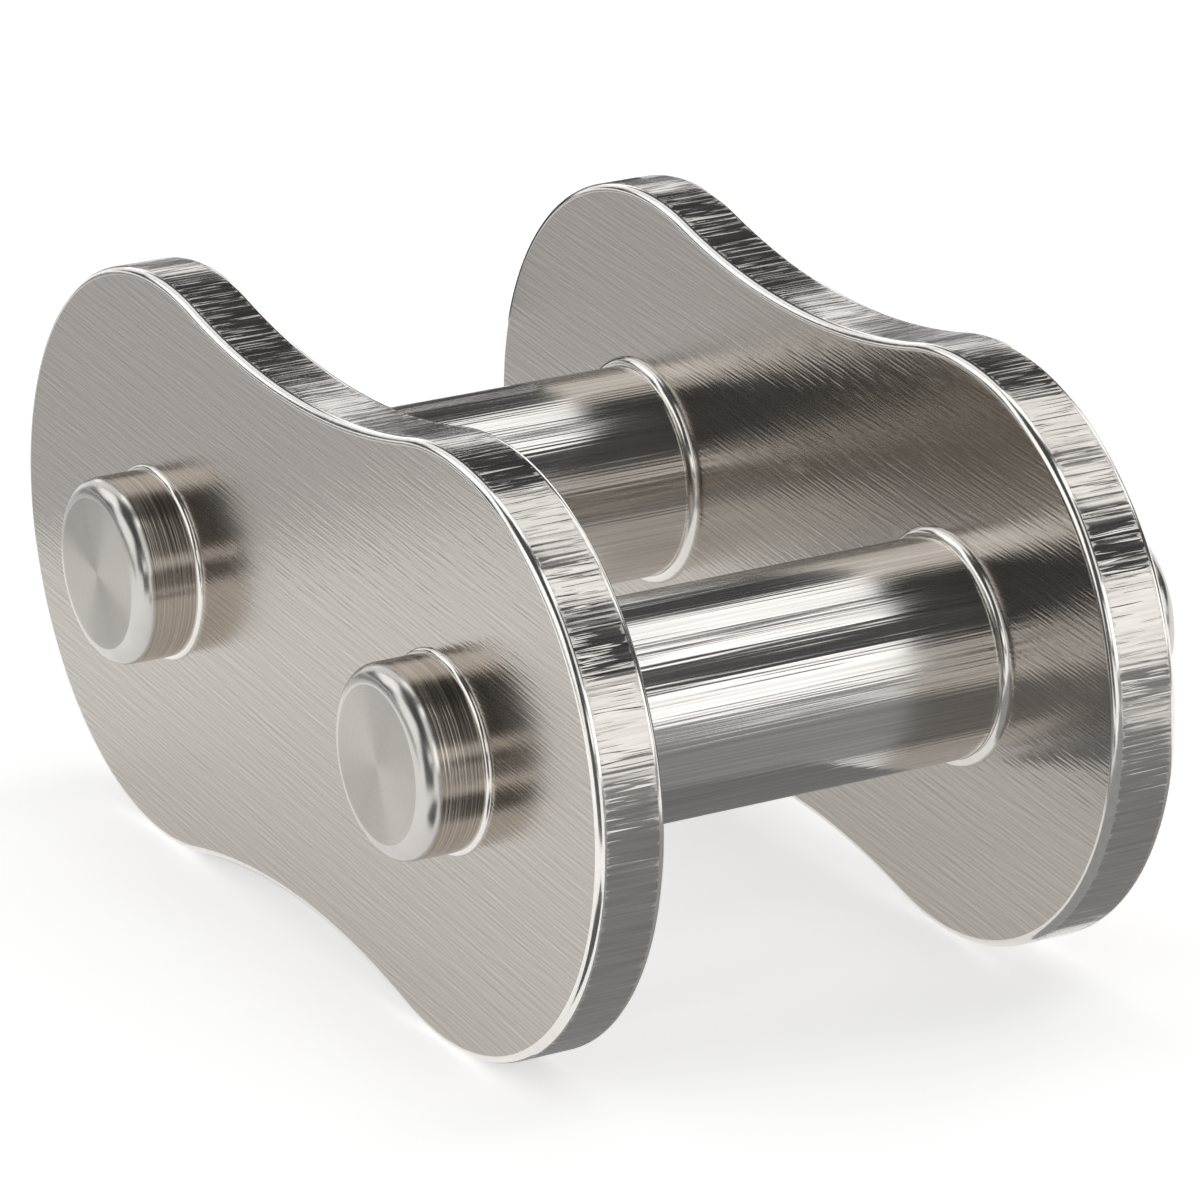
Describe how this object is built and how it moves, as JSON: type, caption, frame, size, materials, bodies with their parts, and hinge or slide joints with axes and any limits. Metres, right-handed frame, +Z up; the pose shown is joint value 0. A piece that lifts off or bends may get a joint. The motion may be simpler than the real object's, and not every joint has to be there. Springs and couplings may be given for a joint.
{
  "type": "chain connecting link",
  "caption": "Connecting link of a roller chain: waisted steel plates on parallel shouldered pins, with a cover plate that slides off the pin ends.",
  "frame": {"origin": "midway between the two pin axes and midway between the two plates", "axes": "+X from the left pin to the right pin, +Y along the pins from the pin plate to the cover plate, +Z up across the height of the plates"},
  "size_m": [0.0192, 0.0136, 0.0096],
  "materials": {
    "plate_steel": "brushed faces with a bright rounded rim",
    "pin_steel": "ground and polished, with turned end faces"
  },
  "bodies": {
    "pin_link": {"pin_plate": "plate_steel", "left_pin": "pin_steel", "right_pin": "pin_steel"},
    "cover": {"cover_plate": "plate_steel"}
  },
  "joints": [
    {"name": "cover_plate_slide", "type": "slide", "parent": "pin_link", "child": "cover", "axis": [0, 1, 0], "range_m": [0, 0.012]}
  ]
}
